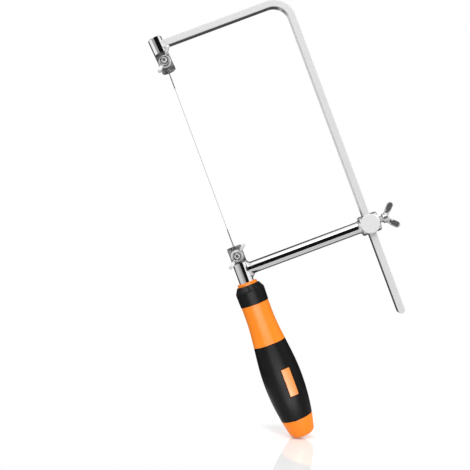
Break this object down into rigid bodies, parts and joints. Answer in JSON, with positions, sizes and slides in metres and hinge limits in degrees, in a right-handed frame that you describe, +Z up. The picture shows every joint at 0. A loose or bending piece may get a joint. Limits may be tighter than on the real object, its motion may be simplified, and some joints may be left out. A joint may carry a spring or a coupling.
{
  "type": "fret saw",
  "caption": "Adjustable fret saw: a deep bent-bar bow slides in a collar on the handle's side arm and stretches a looped wire blade between wing-nut clamps.",
  "frame": {"origin": "middle of the grip sleeve, on the handle's axis", "axes": "+Z up the handle, stem and blade; +X from the blade to the bow's spine; -Y is the front, with the wing nuts"},
  "size_m": [0.1326, 0.0284, 0.305],
  "materials": {
    "orange_plastic": "smooth moulded",
    "black_rubber": "soft matt",
    "polished_chrome": "polished chrome plate",
    "plated_bar": "satin nickel plate",
    "zinc_hardware": "bright zinc plate",
    "blade_steel": "drawn wire"
  },
  "bodies": {
    "handle": {"handle_core": "orange_plastic", "grip_sleeve": "black_rubber", "neck_sleeve": "black_rubber", "handle_stem": "polished_chrome", "stem_braze": "polished_chrome", "lower_arm": "polished_chrome", "frame_collar": "polished_chrome", "lower_clamp_bolt": "zinc_hardware", "lower_blade_loop": "blade_steel", "blade_wire": "blade_steel"},
    "bow": {"bow_bar": "plated_bar", "upper_post": "polished_chrome", "post_braze": "plated_bar", "upper_clamp_bolt": "zinc_hardware", "upper_blade_loop": "blade_steel"},
    "frame_screw": {"frame_wing_screw": "zinc_hardware"},
    "lower_washer": {"lower_washer": "zinc_hardware"},
    "lower_nut": {"lower_wing_nut": "zinc_hardware"},
    "upper_washer": {"upper_washer": "zinc_hardware"},
    "upper_nut": {"upper_wing_nut": "zinc_hardware"}
  },
  "joints": [
    {"name": "bow_slide", "type": "slide", "parent": "handle", "child": "bow", "axis": [0, 0, 1], "range_m": [-0.06, 0], "deforming": ["blade_wire"]},
    {"name": "frame_screw_turn", "type": "hinge", "parent": "handle", "child": "frame_screw", "pos_m": [0.097, 0, 0.08365], "axis": [1, 0, 0], "range_deg": [0, 720]},
    {"name": "lower_washer_slide", "type": "slide", "parent": "handle", "child": "lower_washer", "axis": [0, -1, 0], "range_m": [0, 0.0021]},
    {"name": "lower_nut_turn", "type": "hinge", "parent": "lower_washer", "child": "lower_nut", "pos_m": [0, -0.0012, 0.09495], "axis": [0, -1, 0], "range_deg": [0, 1080]},
    {"name": "upper_washer_slide", "type": "slide", "parent": "bow", "child": "upper_washer", "axis": [0, -1, 0], "range_m": [0, 0.0021]},
    {"name": "upper_nut_turn", "type": "hinge", "parent": "upper_washer", "child": "upper_nut", "pos_m": [0, -0.0012, 0.24425], "axis": [0, -1, 0], "range_deg": [0, 1080]}
  ],
  "couplings": [
    {"joint": "lower_nut_turn", "follows": "lower_washer_slide", "rad_per_m": 8976},
    {"joint": "upper_nut_turn", "follows": "upper_washer_slide", "rad_per_m": 8976}
  ]
}
